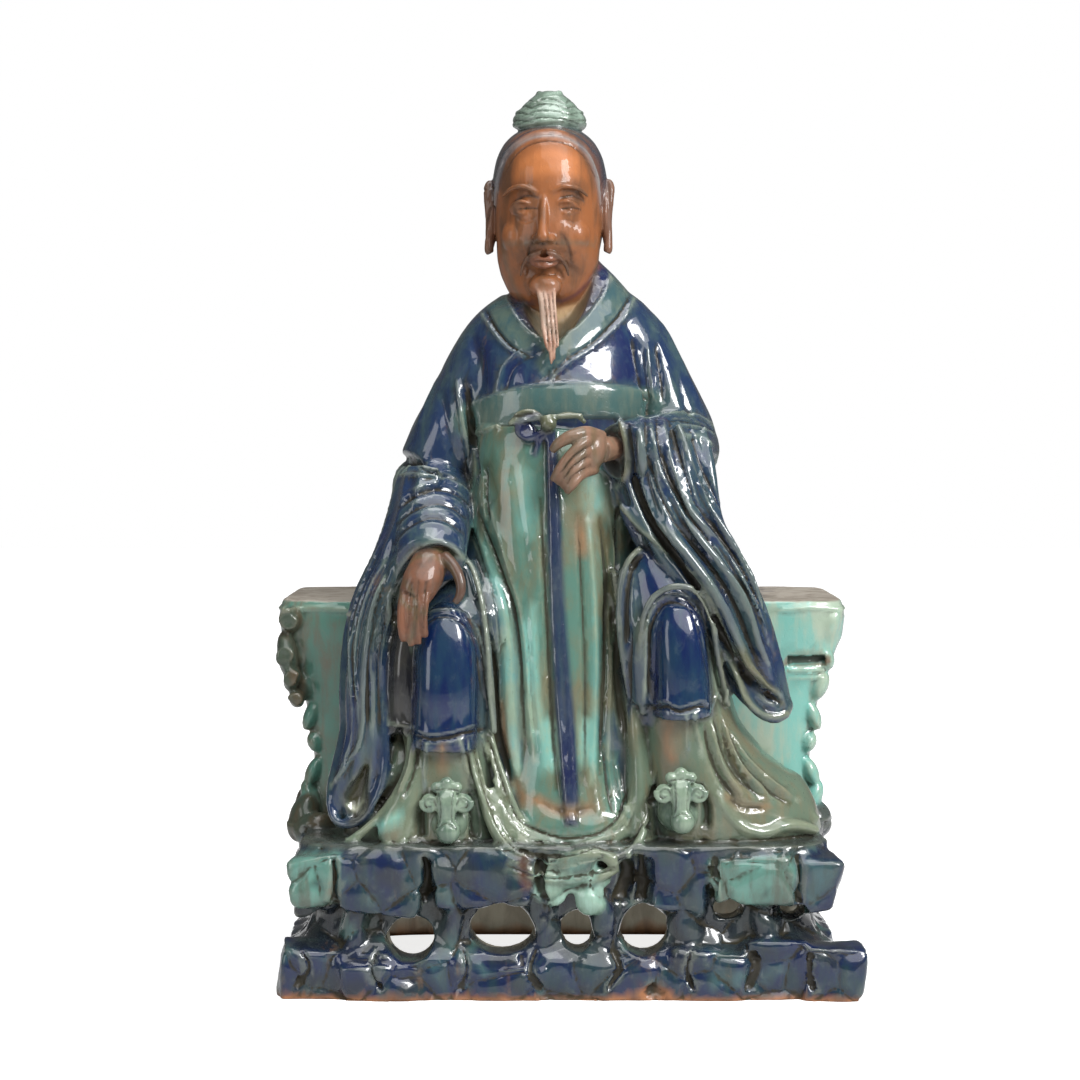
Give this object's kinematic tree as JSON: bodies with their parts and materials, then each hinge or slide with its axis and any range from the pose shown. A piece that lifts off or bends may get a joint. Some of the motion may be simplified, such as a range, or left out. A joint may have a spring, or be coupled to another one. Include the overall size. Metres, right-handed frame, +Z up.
{
  "type": "glazed pottery figure",
  "caption": "Seated bearded dignitary in a long robe on a throne, with a hollow pierced rock base, in one piece of blue and turquoise glazed pottery.",
  "frame": {"origin": "middle of the footprint, on the surface that the foot rim stands on", "axes": "+Z up, the figure faces -Y, +X is to the viewer's right"},
  "size_m": [0.3146, 0.1866, 0.4803],
  "materials": {
    "glazed_body": "glossy blue and turquoise glaze, with bare orange clay on the face and hands"
  },
  "bodies": {
    "root": {"seated_dignitary": "glazed_body"}
  },
  "joints": []
}
